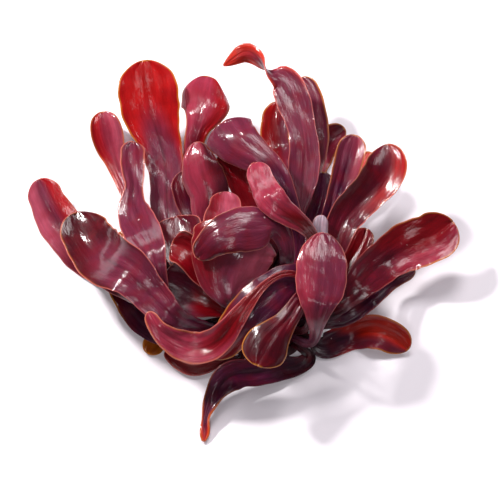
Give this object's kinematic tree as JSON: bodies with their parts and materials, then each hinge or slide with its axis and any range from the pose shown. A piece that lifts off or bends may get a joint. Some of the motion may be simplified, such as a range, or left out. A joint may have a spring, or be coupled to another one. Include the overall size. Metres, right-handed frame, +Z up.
{
  "type": "dulse seaweed",
  "caption": "Tuft of dulse, a red leafy seaweed: glossy strap-shaped fronds grow from one low holdfast and arch and curl over each other as it lies at rest.",
  "frame": {"origin": "centre of the holdfast's flat underside, on the surface that the tuft rests on", "axes": "+Z up from that surface, +X to the right along the tuft's longest side, +Y away towards the tall fronds at the back"},
  "size_m": [0.2616, 0.2448, 0.088],
  "materials": {
    "frond": "wet gloss, dark red to mauve",
    "holdfast": "satin, dark brown-red"
  },
  "bodies": {
    "root": {"amber_bladelet": "frond", "back_dark_frond": "frond", "back_hooded_frond": "frond", "back_left_frond": "frond", "back_right_frond": "frond", "broad_left_frond": "frond", "centre_arched_frond": "frond", "centre_bladelet": "frond", "centre_broad_frond": "frond", "centre_folded_frond": "frond", "creased_frond": "frond", "far_left_frond": "frond", "far_right_bladelet": "frond", "far_right_frond": "frond", "front_hooked_frond": "frond", "front_looped_frond": "frond", "front_rim_bladelet": "frond", "front_standing_frond": "frond", "front_streaked_frond": "frond", "front_tongue_frond": "frond", "holdfast": "holdfast", "hood_lining_frond": "frond", "hooded_frond": "frond", "inner_back_frond": "frond", "inner_cupped_frond": "frond", "inner_left_frond": "frond", "inner_right_frond": "frond", "left_bladelet": "frond", "left_rim_frond": "frond", "left_wavy_frond": "frond", "long_twisted_frond": "frond", "low_left_frond": "frond", "low_right_frond": "frond", "right_amber_tip": "frond", "right_curled_frond": "frond", "right_hidden_frond": "frond", "right_spoon_frond": "frond", "silver_bladelet": "frond", "tall_back_frond": "frond", "under_right_frond": "frond"}
  },
  "joints": []
}
